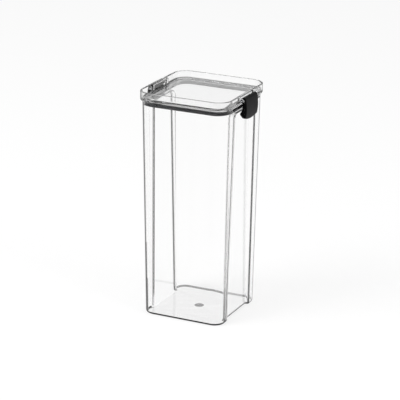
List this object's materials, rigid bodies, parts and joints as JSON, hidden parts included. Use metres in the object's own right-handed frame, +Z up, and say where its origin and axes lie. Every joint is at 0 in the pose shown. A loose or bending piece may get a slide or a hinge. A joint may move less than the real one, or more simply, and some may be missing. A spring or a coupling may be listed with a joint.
{
  "type": "food canister",
  "caption": "Tall square clear canister with grip recesses, a stacking lid with a silicone seal, and hinged side latches that hook under ledges in the body.",
  "frame": {"origin": "middle of the base, on the table", "axes": "+Z up along the canister, X across the latches, -Y out of the wide plain side seen in the picture"},
  "size_m": [0.1142, 0.102, 0.242],
  "materials": {
    "clear_body": "clear moulded, polished",
    "clear_lid": "clear moulded, polished",
    "seal_silicone": "satin",
    "latch_plastic": "fine moulded grain",
    "pin_steel": "drawn"
  },
  "bodies": {
    "canister": {"canister_body": "clear_body"},
    "lid": {"lid_cover": "clear_lid", "lid_seal": "seal_silicone", "latch_pin_right": "pin_steel", "latch_pin_left": "pin_steel"},
    "right_latch": {"latch_right": "latch_plastic"},
    "left_latch": {"latch_left": "latch_plastic"}
  },
  "joints": [
    {"name": "lid_lift", "type": "slide", "parent": "canister", "child": "lid", "axis": [0, 0, 1], "range_m": [0, 0.04]},
    {"name": "right_latch_flip", "type": "hinge", "parent": "lid", "child": "right_latch", "pos_m": [0.0524, 0, 0.2366], "axis": [0, -1, 0], "range_deg": [0, 110]},
    {"name": "left_latch_flip", "type": "hinge", "parent": "lid", "child": "left_latch", "pos_m": [-0.0524, 0, 0.2366], "axis": [0, 1, 0], "range_deg": [0, 110]}
  ],
  "couplings": [
    {"joint": "right_latch_flip", "follows": "lid_lift", "rad_per_m": 47.99},
    {"joint": "left_latch_flip", "follows": "lid_lift", "rad_per_m": 47.99}
  ]
}
